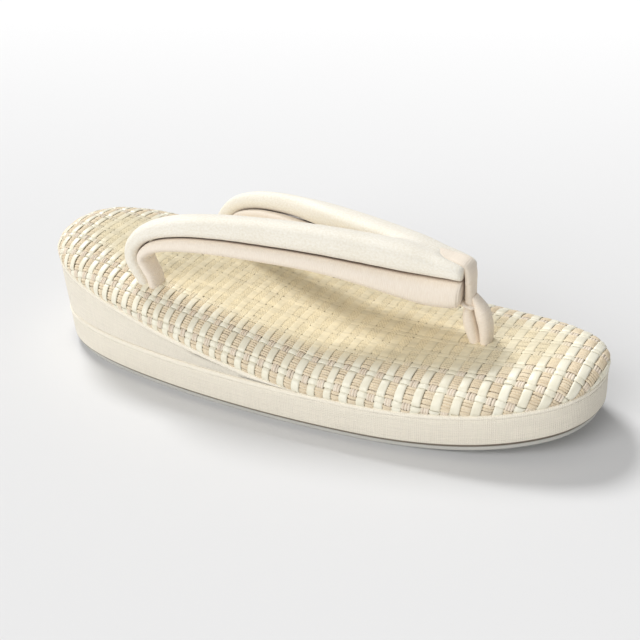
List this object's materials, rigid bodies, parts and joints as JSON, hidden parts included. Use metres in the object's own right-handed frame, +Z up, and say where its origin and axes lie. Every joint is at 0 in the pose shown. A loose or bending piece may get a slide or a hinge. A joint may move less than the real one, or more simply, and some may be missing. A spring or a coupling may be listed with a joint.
{
  "type": "zori sandal",
  "caption": "Flat-soled sandal with a layered heel wedge, a padded woven straw cover, a padded V strap and a toe post.",
  "frame": {"origin": "on the floor under the middle of the sole's length and width", "axes": "+X towards the toe, +Y towards the wearer's left, +Z up"},
  "size_m": [0.2412, 0.0892, 0.0727],
  "materials": {
    "outsole_rubber": "smooth matte",
    "base_fabric": "fine linen weave",
    "wedge_fabric": "fine linen weave",
    "straw": "woven straw with a soft gloss",
    "strap_fabric": "fine crepe with a soft sheen",
    "lining_fabric": "fine ribbed matte",
    "post_fabric": "fine ribbed matte"
  },
  "bodies": {
    "root": {"outsole": "outsole_rubber", "base_layer": "base_fabric", "heel_wedge": "wedge_fabric", "top_cover": "straw", "strap_upper": "strap_fabric", "strap_lining": "lining_fabric", "toe_post": "post_fabric"}
  },
  "joints": []
}
